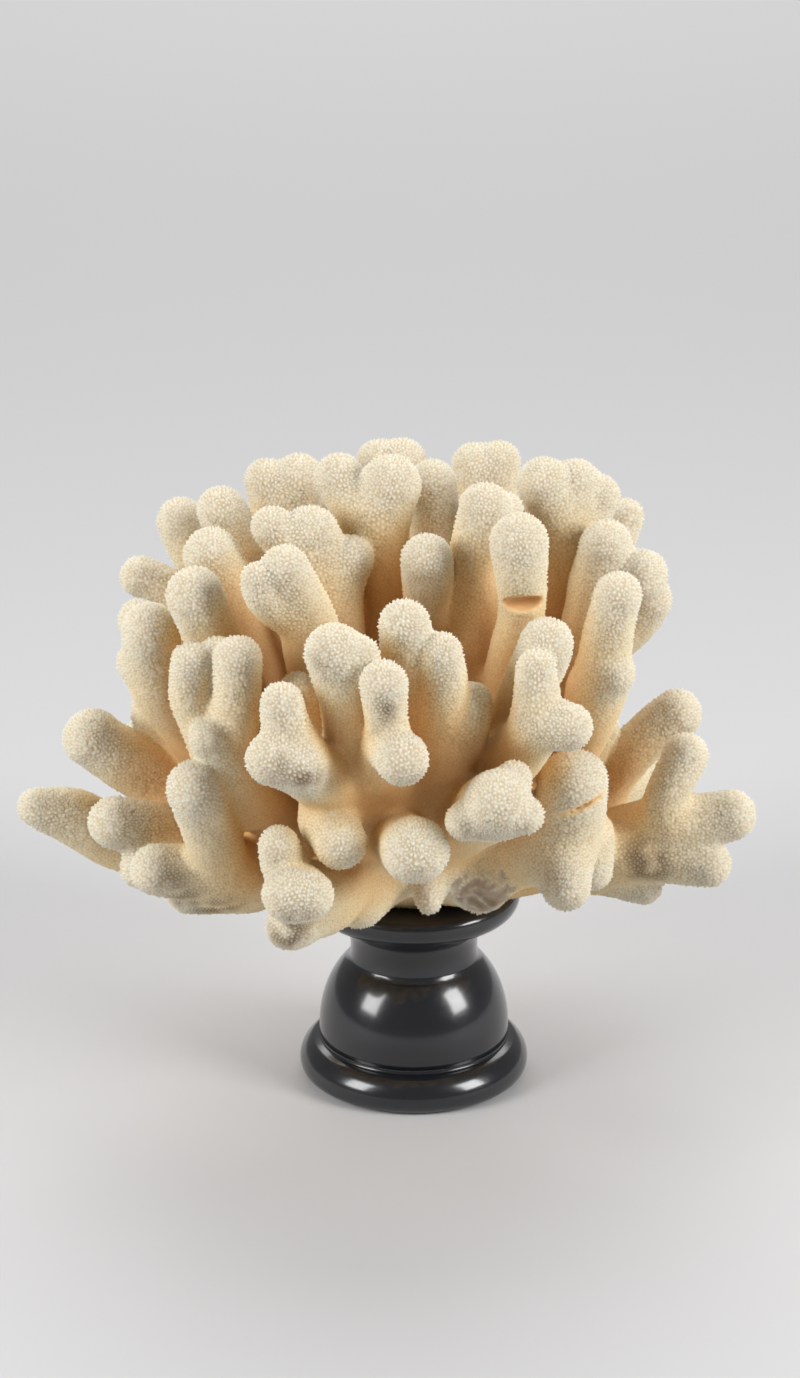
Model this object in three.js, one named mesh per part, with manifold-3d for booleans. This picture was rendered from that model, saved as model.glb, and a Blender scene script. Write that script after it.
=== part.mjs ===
// A branching coral glued to a turned, ebonised wooden stand.
// Millimetres, +Z up, the broad face of the coral towards -Y.
// The origin is the centre of the stand's foot, on the surface that it stands on.

import * as THREE from 'three';
import { mergeVertices } from 'three/addons/utils/BufferGeometryUtils.js';
import Module from 'manifold-3d';

const wasm = await Module();
wasm.setup();

// ---- Driving dimensions ----

const STAND_HEIGHT = 58;
const FOOT_RADIUS = 31;
const FOOT_BEAD_BULGE = 34;   // how far the foot bead's curve is pulled out
const FOOT_BEAD_TOP = 10.4;
const QUIRK_RADIUS = 26.8;    // the narrow groove above the foot bead
const BELLY_RADIUS = 27.5;
const BELLY_BOTTOM = 12.2;
const NECK_RADIUS = 18.6;
const NECK_BOTTOM = 36;
const NECK_TOP = 44;
const RIM_RADIUS = 30.2;
const RIM_HEIGHT = 55;
const TOP_RADIUS = 28.6;
const STAND_SIDES = 24;
const CURVE_STEPS = 2;        // facets along each curve of the stand's outline

const GAP = 0.3;              // air between neighbouring solids
const FINGER_SIDES = 6;
const THIN_FINGER_SIDES = 5;
const THIN_FINGER_RADIUS = 7.6;
const TIP_RINGS = 2;          // rings of corners over each rounded end

const CORAL_LOOK = { color: 0xe9dabd, roughness: 0.9, metalness: 0 };
const STAND_LOOK = { color: 0x08090c, roughness: 0.15, metalness: 0 };

// ---- The coral's fingers ----
// Each fork is a list of fingers. A finger is the line through its centre, from root to tip,
// as [x, y, z, radius] points. Forks that share a stem repeat its first point.

const FORKS = {
  // the broken stumps on the underside, in front
  broken_stub: [[[14, -20, 73, 10], [18, -33, 71, 7.6]]],
  downward_nub: [[[4, -32, 78, 8], [4, -41, 74, 4.8], [4, -43, 71, 3.6]]],

  // the fingers that face the front
  front_centre: [
    [[-8, -26, 85, 14], [-13, -50, 107, 13.6], [-16, -68, 129, 7.2], [-18, -74, 143, 6.8], [-21, -78, 155, 7.4]],
    [[-18, -75, 146, 6.2], [-14.6, -77, 153.4, 5.4]],
    [[-17, -58, 112, 10.6], [-28, -77, 122.6, 7.8], [-33, -83, 135, 6.6], [-34, -84, 143.6, 5.2]],
    [[-30, -80, 126, 7], [-36.6, -87, 129.7, 6.6]],
    [[-24, -72, 118, 7], [-29.5, -86, 127.4, 6.3]],
    [[-12, -60, 114, 10.4], [-7, -80, 132, 5.4], [-7.6, -84, 141, 5.3], [-8, -85, 149.2, 5.8]],
    [[-7, -80, 130, 5.6], [-3.6, -89.4, 130.8, 6.5]],
    [[-17, -56, 106, 9.5], [-24, -68, 106, 7.6], [-19.4, -78, 102.8, 6.6]],
    [[-8, -40, 92, 9], [-4, -62, 97, 8], [0, -86, 104, 8.2]],
  ],
  front_left_low: [
    [[-14, -28, 78, 13], [-21, -50, 79, 9.5], [-29, -74, 86, 8], [-32.6, -91.6, 94, 6.5]],
    [[-29, -84, 92, 6], [-27.6, -91, 93.8, 6]],
    [[-30, -72, 87, 6.8], [-34.4, -77, 95, 5.8], [-35.4, -78, 102, 5.2]],
    [[-25, -58, 77, 8], [-33, -79, 79.4, 6]],
    [[-12, -34, 75, 9.5], [-15, -42, 69, 6]],
  ],
  front_right_knob: [
    [[8, -32, 90, 12], [18, -60, 104, 8.6], [21, -88, 118.4, 8.2]],
    [[20, -82, 113, 6.4], [12.6, -86, 112.4, 4.8]],
    [[22, -84, 114, 6.4], [28, -88, 114.4, 4.6]],
    [[22, -80, 115, 6.4], [25.6, -80, 121.6, 4.4]],
  ],
  front_middle: [
    [[2, -24, 87, 13], [4, -42, 106, 11.6], [6, -58, 127, 9], [7, -68, 144, 6.2], [6.4, -70, 152.6, 5]],
    [[2, -44, 110, 9], [-2, -60, 136, 7.4], [-2.6, -68, 159, 6.5]],
    [[8, -54, 119, 8], [14, -62, 130, 6], [15, -62, 136, 4.8]],
  ],
  right_inner: [
    [[11, -22, 88, 12], [21, -34, 104, 9.2], [28, -50, 130, 7.2], [34, -60, 151, 6.9]],
    [[20, -42, 106, 8.4], [29, -63, 125, 7], [31.4, -70, 133, 6.8], [31, -70, 147.8, 4.9]],
    [[32, -70, 133, 6.6], [39.4, -74, 133.6, 6.1]],
  ],
  right_front_low: [
    [[18, -18, 76, 14], [35, -34, 86, 12.4], [42, -42, 96, 10], [42.6, -46, 107, 8.9]],
    [[39, -40, 86, 10], [40.8, -50, 79, 6.7]],
    [[47, -26, 83, 8.4], [49.4, -28, 73.4, 5.2]],
  ],
  left_inner: [
    [[-32, -24, 88, 9.6], [-43, -41, 101, 8.6], [-52, -52, 120, 7.4], [-60.6, -55, 135, 4.9], [-58.6, -55.6, 144.6, 5]],
    [[-50, -52, 120, 8], [-46.6, -59, 133, 6.2], [-46.2, -58.6, 146.4, 6.1]],
    [[-50, -50, 118, 7], [-53, -50.5, 142, 5.4], [-52, -52, 146, 4.2]],
    [[-43, -46, 102, 7], [-48, -56, 115, 6.4], [-54, -62, 126, 5]],
  ],
  left_front_low: [
    [[-34, -22, 76, 10], [-54, -46, 80, 8], [-69.6, -54, 85, 6.4]],
    [[-51, -44, 80, 7.6], [-54, -56, 95, 7], [-57.6, -64, 112.2, 7.3]],
    [[-57, -40, 78, 7], [-74.6, -40, 79.6, 5.2]],
    [[-45, -34, 73, 8], [-62, -44, 74, 5.4]],
  ],

  // the fingers that spread to the left
  left_low: [
    [[-42, -6, 71, 11], [-68, -8, 71, 9], [-82, -10, 73, 7.3], [-93.6, -14, 84, 8.3], [-105, -18, 88.8, 5]],
    [[-46, -6, 74, 11], [-68, -12, 91, 8.4], [-89, -16, 108.4, 7.7]],
    [[-47, -14, 74, 10], [-64, -30, 86, 7.8], [-81.4, -38, 92, 7]],
  ],
  left_mid: [
    [[-36, -12, 90, 9], [-57, -14, 106, 8.2], [-70, -24, 125, 7.2], [-71, -30, 144.4, 7.6]],
    [[-70, -22, 128, 6.2], [-75.4, -24, 133.4, 5.2]],
    [[-71, -22, 139, 6], [-75, -18, 143.8, 5.4]],
    [[-48, -8, 99, 7.2], [-72, -6, 113, 6.8]],
  ],
  left_shoulder: [
    [[-28, -19, 96, 10], [-45, -27, 119, 8.4], [-53, -38, 143, 7.6], [-58, -42, 158.4, 7.4]],
  ],
  left_upper: [
    [[-25, -2, 98, 10], [-41, -8, 122, 8], [-49.4, -18, 151, 7.2], [-55, -22, 163.6, 7]],
    [[-44, -4, 132, 6.6], [-66, 4, 144.4, 5.8], [-76, 4, 148.8, 5.5]],
  ],
  left_crown: [
    [[-22, 12, 98, 10], [-36, 11, 122, 8.2], [-47, 6, 154, 7.2], [-53.4, 4, 168.2, 6.5]],
    [[-38, 15, 124, 7.6], [-61, 23, 147, 6.8], [-65.8, 24, 158.6, 6.3]],
  ],

  // the fingers that spread to the right
  right_low: [
    [[27, -4, 69, 13], [52, -10, 73, 10.2], [63, -14, 79, 9.4], [76, -18, 84, 7.8], [87.6, -20, 87, 6.7]],
    [[70, -20, 87, 6.8], [68, -22, 93, 5.4], [73, -22, 101, 6.1], [74.8, -20, 104.8, 5.9]],
    [[63, -14, 74, 8.4], [82, -22, 73, 6]],
    [[53, -6, 66, 8], [65, -12, 62, 5]],
  ],
  right_mid: [
    [[32, 8, 74, 9], [53, 9, 75, 7], [58, 6, 88, 5], [64, 4, 100, 6.6], [74, 4, 108, 6.9]],
  ],
  right_shoulder: [
    [[23, -12, 88, 10], [40, -18, 100, 8.6], [49, -30, 125, 7.6], [51.4, -36, 144, 6.6], [53.8, -38, 157.4, 6.1]],
    [[49, -32, 129, 6.6], [53.4, -38, 135.2, 5.2]],
    [[43, 2, 90, 7.6], [52, 2, 106, 5.1]],
  ],
  right_upper: [
    [[24, 0, 94, 9], [39, -3, 108, 8.2], [48, -9, 140, 7.2], [52, -12, 162.4, 7.1]],
    [[50, -10, 152, 7], [61.8, -14, 155.2, 6.8]],
  ],

  // the crown
  crown_left_front: [
    [[-17, -22, 98, 10], [-25, -35, 129, 8.6], [-28.4, -44, 152, 7.7], [-34.2, -50, 168.6, 5.9]],
    [[-31, -46, 153, 5.4], [-41, -53, 160.6, 4.2], [-41.4, -53, 167, 3.9]],
    [[-23, -40, 118, 7.6], [-31, -54, 136, 4.8]],
  ],
  crown_left: [
    [[-13, -6, 98, 10], [-20, -12, 126, 8.8], [-24, -18, 152, 8.4], [-28, -20, 169, 7.2]],
    [[-26, -18, 157, 7.2], [-38.4, -22, 171.2, 5.5]],
    [[-24, -18, 149, 7.8], [-17.6, -18, 160.8, 6.4]],
  ],
  crown_left_back: [
    [[-15, 24, 98, 10], [-27, 31, 122, 8.2], [-37, 32, 151, 7.8], [-42, 30, 169, 6]],
    [[-37, 32, 154, 7.8], [-33, 30, 169.8, 6.5]],
  ],
  crown_club: [
    [[-5, 4, 98, 10], [-7, 2, 118, 8], [-8.4, -4, 146, 5.9], [-11, -6, 167, 9], [-6.6, -8, 178.8, 8]],
    [[-11, -6, 167, 8.4], [-20.6, -4, 179.4, 6.6]],
  ],
  crown_middle: [
    [[3, 18, 98, 10], [6, 20, 118, 8.2], [7, 19, 148, 7], [5, 16, 172.2, 6.7]],
    [[6, 10, 120, 7], [4, -14, 141, 6.2], [3.2, -23, 156, 6.5], [3.4, -28, 164.2, 6.8]],
  ],
  crown_back: [
    [[-3, 34, 98, 9], [-5, 40, 118, 8.2], [-7, 44, 153, 8], [-10.2, 45, 169.8, 6.3]],
    [[-7, 44, 153, 8], [-3, 45, 170, 6.3]],
  ],
  crown_right: [
    [[9, 0, 96, 10], [13, -6, 112, 8.4], [17, -15, 143, 7.2], [16, -18, 162, 6.9], [19, -18, 175, 6.8]],
    [[18, -16, 169, 6], [24, -12, 172.6, 5]],
  ],
  crown_right_back: [
    [[10, 28, 98, 9], [17, 36, 118, 8.2], [21, 40, 153, 7.6], [17, 40, 170.6, 6.1]],
    [[21, 40, 156, 7.6], [24.2, 40, 171, 6]],
  ],
  crown_fan: [
    [[17, 14, 94, 9], [32, 12, 112, 7.8], [39, 6, 136, 6.2], [42, 2, 160, 7.8], [35.2, 0, 177, 6.9]],
    [[42, 2, 160, 7.6], [44, 4, 175.6, 6.7]],
    [[43, 4, 158, 7.4], [50.4, 6, 171.2, 6]],
    [[36, 22, 109, 7.4], [55, 30, 145, 6.4], [59.6, 30, 157.8, 5.4]],
  ],
  broken_finger: [
    [[16, -16, 98, 9], [25, -24, 125, 7], [27, -31, 142, 6.3], [29, -36, 155, 6], [28, -38, 162, 6.5],
      [27.4, -38, 172, 7.4]],
  ],

  // the fingers at the back
  back_low_knob: [
    [[0, 28, 78, 11], [3, 56, 83, 9], [2, 82, 95, 8.4]],
    [[3, 60, 83, 7], [14, 76, 79, 6.4]],
  ],
  back_centre: [
    [[-4, 36, 86, 9], [-5, 60, 104, 8.6], [-9, 71, 126, 8], [-12, 74, 142, 7.6]],
    [[-6, 62, 110, 7.6], [6, 74, 126, 6.6], [8, 76, 138, 6.8]],
  ],
  back_left_low: [
    [[-20, 22, 74, 12], [-42, 42, 76, 9.4], [-60, 58, 84, 8], [-66, 62, 98, 7.4]],
    [[-40, 44, 76, 8], [-46, 66, 74, 6.6]],
    [[-30, 40, 80, 9], [-32, 66, 92, 7.6], [-34, 76, 106, 7.2]],
  ],
  back_left_mid: [
    [[-24, 22, 86, 10], [-42, 39, 104, 8.8], [-54, 50, 124, 8], [-58, 52, 142, 7.8]],
    [[-46, 40, 106, 8], [-66, 40, 116, 6.8], [-74, 40, 126, 6.6]],
  ],
  back_left_high: [
    [[-12, 32, 92, 9], [-21, 53, 114, 8.2], [-26, 60, 136, 7.8], [-27, 62, 153, 7.4]],
    [[-24, 56, 126, 7], [-40, 62, 134, 6.2]],
  ],
  left_back_low: [
    [[-36, 8, 70, 12], [-60, 20, 75, 9], [-73, 27, 82, 7.6], [-77, 29, 91, 6.8]],
    [[-62, 24, 75, 7.4], [-76, 40, 76, 6.4]],
  ],
  back_right_high: [
    [[16, 32, 90, 9], [28, 54, 112, 8.2], [33, 60, 132, 7.8], [35, 62, 148, 7.4]],
    [[28, 57, 118, 7], [17, 68, 132, 6.6], [17, 70, 144, 6.4]],
  ],
  back_right_mid: [
    [[20, 22, 86, 10], [38, 37, 102, 8.8], [48, 48, 122, 8], [52, 52, 140, 7.6]],
    [[42, 42, 108, 8], [62, 42, 120, 6.8], [68, 40, 130, 6.6]],
  ],
  back_right_low: [
    [[18, 22, 75, 11], [36, 46, 78, 9.2], [44, 62, 90, 8], [48, 66, 106, 7.4]],
    [[36, 50, 78, 8], [29, 70, 77, 6.6]],
  ],
  right_back_low: [
    [[32, 16, 74, 11], [58, 30, 77, 8.6], [66, 40, 80, 7.2]],
    [[60, 32, 78, 7], [66, 48, 75, 6.2]],
  ],
};

// The solid mass where the forks meet. It sits on the stand.
const HOLDFAST = { centre: [-1, 6, 85], halfSize: [46, 41, 34], detail: 2 };

// The dead, open crack behind the lip of the broken finger.
const CRACK = { at: [29, -45, 155.5], halfWidth: 6, halfDepth: 7, halfHeight: 1.8, tilt: 0.12 };

// ---- Solids ----

function solidFrom(geometry) {
  geometry.deleteAttribute('normal');
  geometry.deleteAttribute('uv');
  const merged = mergeVertices(geometry, 1e-4);
  return new wasm.Manifold(new wasm.Mesh({
    numProp: 3,
    vertProperties: new Float32Array(merged.attributes.position.array),
    triVerts: new Uint32Array(merged.index.array),
  }));
}

function geometryFrom(solid) {
  const { vertProperties, triVerts } = solid.getMesh();
  const geometry = new THREE.BufferGeometry();
  geometry.setAttribute('position', new THREE.BufferAttribute(vertProperties, 3));
  geometry.setIndex(new THREE.BufferAttribute(triVerts, 1));
  geometry.computeVertexNormals();
  return geometry;
}

// How far the corners stand out, so that the faceted section has the area of the round one.
function cornerReach(sides) {
  const turn = 2 * Math.PI / sides;
  return Math.sqrt(turn / Math.sin(turn));
}

// A capsule of unit radius, bent along a finger's line and swollen to its radius. It has a ring of
// corners at each point of the line, and the getUtoTmapping line keeps the frames at those points too.
function fingerSolid(points, grow) {
  const line = new THREE.CatmullRomCurve3(points.map(([x, y, z]) => new THREE.Vector3(x, y, z)));
  line.getUtoTmapping = (u) => u;
  const rows = points.length - 1;
  const { normals, binormals, tangents } = line.computeFrenetFrames(rows, false);
  const tipRadius = points[rows][3];
  const sides = tipRadius < THIN_FINGER_RADIUS ? THIN_FINGER_SIDES : FINGER_SIDES;
  const capsule = new THREE.CapsuleGeometry(1, rows, TIP_RINGS, sides, rows);
  const corners = capsule.attributes.position;
  const corner = new THREE.Vector3();
  for (let i = 0; i < corners.count; i++) {
    corner.fromBufferAttribute(corners, i);
    const row = THREE.MathUtils.clamp(Math.round(corner.y + rows / 2), 0, rows);
    const [x, y, z, radius] = points[row];
    const reach = radius * cornerReach(sides) + grow;
    const beyondEnd = corner.y + rows / 2 - row;
    const place = new THREE.Vector3(x, y, z)
      .addScaledVector(normals[row], corner.x * reach)
      .addScaledVector(binormals[row], -corner.z * reach)
      .addScaledVector(tangents[row], beyondEnd * reach);
    corners.setXYZ(i, place.x, place.y, place.z);
  }
  return solidFrom(capsule);
}

function forkSolid(fingers, grow = 0) {
  return fingers.map((points) => fingerSolid(points, grow)).reduce((all, finger) => all.add(finger));
}

function holdfastSolid(grow = 0) {
  const ball = new THREE.IcosahedronGeometry(1, HOLDFAST.detail);
  ball.scale(...HOLDFAST.halfSize.map((half) => half + grow));
  ball.translate(...HOLDFAST.centre);
  return solidFrom(ball);
}

function crackSolid() {
  const lens = new THREE.SphereGeometry(1, 10, 6);
  lens.scale(CRACK.halfWidth, CRACK.halfDepth, CRACK.halfHeight);
  lens.rotateY(CRACK.tilt);
  lens.translate(...CRACK.at);
  return solidFrom(lens);
}

// The room that the stand takes, up to the level where the coral is cut flat.
function standRoom() {
  const room = new THREE.CylinderGeometry(RIM_RADIUS + 6, RIM_RADIUS + 6, STAND_HEIGHT + GAP, 24);
  room.rotateX(Math.PI / 2);
  room.translate(0, 0, (STAND_HEIGHT + GAP) / 2);
  return solidFrom(room);
}

function largestPiece(solid) {
  return solid.decompose().reduce((best, piece) => (piece.volume() > best.volume() ? piece : best));
}

// ---- The stand ----

function standProfile() {
  const profile = new THREE.Path();
  profile.moveTo(0, 0);
  profile.lineTo(FOOT_RADIUS, 0);
  profile.bezierCurveTo(FOOT_BEAD_BULGE, 1.4, FOOT_BEAD_BULGE, 7.5, FOOT_RADIUS - 2, FOOT_BEAD_TOP);
  profile.lineTo(QUIRK_RADIUS, FOOT_BEAD_TOP + 0.5);
  profile.lineTo(BELLY_RADIUS, BELLY_BOTTOM);
  profile.bezierCurveTo(BELLY_RADIUS + 0.2, 23, 24.5, 31, NECK_RADIUS, NECK_BOTTOM);
  profile.lineTo(NECK_RADIUS, NECK_TOP);
  profile.bezierCurveTo(NECK_RADIUS + 1, 48, 24, 49, 27.5, 50.5);
  profile.bezierCurveTo(29.5, 51.2, RIM_RADIUS, 53, RIM_RADIUS, RIM_HEIGHT);
  profile.quadraticCurveTo(RIM_RADIUS, STAND_HEIGHT, TOP_RADIUS, STAND_HEIGHT);
  profile.lineTo(0, STAND_HEIGHT);
  return profile.getPoints(CURVE_STEPS);
}

function standGeometry() {
  const geometry = new THREE.LatheGeometry(standProfile(), STAND_SIDES);
  geometry.rotateX(Math.PI / 2);
  geometry.deleteAttribute('normal');
  geometry.deleteAttribute('uv');
  const merged = mergeVertices(geometry, 1e-4);
  merged.computeVertexNormals();
  return merged;
}

// ---- Assembly ----

const model = new THREE.Group();

function addMesh(name, geometry, look) {
  const mesh = new THREE.Mesh(geometry, new THREE.MeshStandardMaterial(look));
  mesh.name = name;
  model.add(mesh);
}

addMesh('pedestal', standGeometry(), STAND_LOOK);

const standTop = standRoom();
addMesh('holdfast', geometryFrom(holdfastSolid().subtract(standTop)), CORAL_LOOK);

const taken = [standTop, holdfastSolid(GAP)];
for (const [name, fingers] of Object.entries(FORKS)) {
  let solid = forkSolid(fingers);
  if (name === 'broken_finger') {
    solid = solid.subtract(crackSolid());
  }
  for (const neighbour of taken) {
    solid = solid.subtract(neighbour);
  }
  addMesh(name, geometryFrom(largestPiece(solid)), CORAL_LOOK);
  taken.push(forkSolid(fingers, GAP));
}

export default model;
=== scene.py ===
import math

import bpy
import numpy as np
from mathutils import Euler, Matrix, Vector, bvhtree, noise


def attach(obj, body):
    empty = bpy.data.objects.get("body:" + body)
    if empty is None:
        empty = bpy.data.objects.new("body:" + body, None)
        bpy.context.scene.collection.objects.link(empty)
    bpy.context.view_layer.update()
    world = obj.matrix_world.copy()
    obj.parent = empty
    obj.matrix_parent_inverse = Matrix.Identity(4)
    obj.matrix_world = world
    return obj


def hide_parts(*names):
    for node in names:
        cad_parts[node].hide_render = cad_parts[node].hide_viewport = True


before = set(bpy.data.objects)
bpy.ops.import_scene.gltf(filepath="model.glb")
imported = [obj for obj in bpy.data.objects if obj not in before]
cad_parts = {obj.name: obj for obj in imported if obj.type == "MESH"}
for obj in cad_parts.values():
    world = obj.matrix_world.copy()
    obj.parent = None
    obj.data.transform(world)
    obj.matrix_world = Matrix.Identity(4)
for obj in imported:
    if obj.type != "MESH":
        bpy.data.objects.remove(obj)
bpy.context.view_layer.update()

# A branching coral on a turned black stand. The coral's skin is one closed surface round the centre
# lines of its fingers. It is shared out among evenly spaced spines, each in a ring of small pits. The
# skin is then split again, one piece for each solid of the frame.
# The coral is worked out in millimetres and turned into metres at the end; MM does that.

MM = 0.001
BODY = "root"
STAND = "pedestal"
CORAL_NODES = sorted(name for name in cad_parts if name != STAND)

# ---- Driving sizes of the skin, in millimetres ----

CELL = 0.58                 # of the grid that the skin is found on
FIELD_MARGIN = 6            # how far round a finger its distance is worked out
EMPTY_WEIGHT = 1e-6         # what the field holds where no finger is near
TIP_BLEND = 0.85            # how softly fingers run into each other at their tips
ROOT_BLEND = 3.8            # and where they leave the holdfast
WEB_END = 2.3               # the blend is down to TIP_BLEND this many holdfast sizes out
BEAD_SPACING = 2.0          # between the balls that make up a finger
LINE_PASSES = 8             # how often a finger's line is smoothed
SPINE_CELL = 1.12           # cell of the first sharing out; spines end up about 1.2 mm apart
SHARING_TURN = (0.5, 0.4, 0.7)  # the cells are turned by this, so they don't line up with the fingers
SHARING_WAVE = (0.9, 3.1)   # and bent by waves of this height and length
SHARING_PASSES = 12
NEIGHBOURS = 6
LEAST_POINTS = 3            # a spine with fewer points of the skin is given to its neighbours
ABSORB_ROUNDS = 3           # how often those points look round for a neighbour
PIT_DEPTH = 0.14
PIT_RANGE = (0.5, 1.5)      # shallowest and deepest pit, as a share of that
SPINE_HEIGHT = (0.50, 0.84)  # shortest and longest
SPINE_SLANT = 0.12
DEEP_SHORTENING = 0.65      # how much of its height a spine loses deep between the fingers
LUMP_HEIGHT = 0.5           # of the broad unevenness of the fingers
LUMP_LENGTH = 11
SEED = 7

STAND_TOP = 58.3            # the coral is cut flat here
STAND_REACH = 36.2          # within this distance of the stand's axis

# ---- The coral's fingers ----
# The centre lines of the frame's solids, whose meshes don't hold them. Each solid is a list of
# fingers, and a finger is a line from root to tip of (x, y, z, radius) points.

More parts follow.
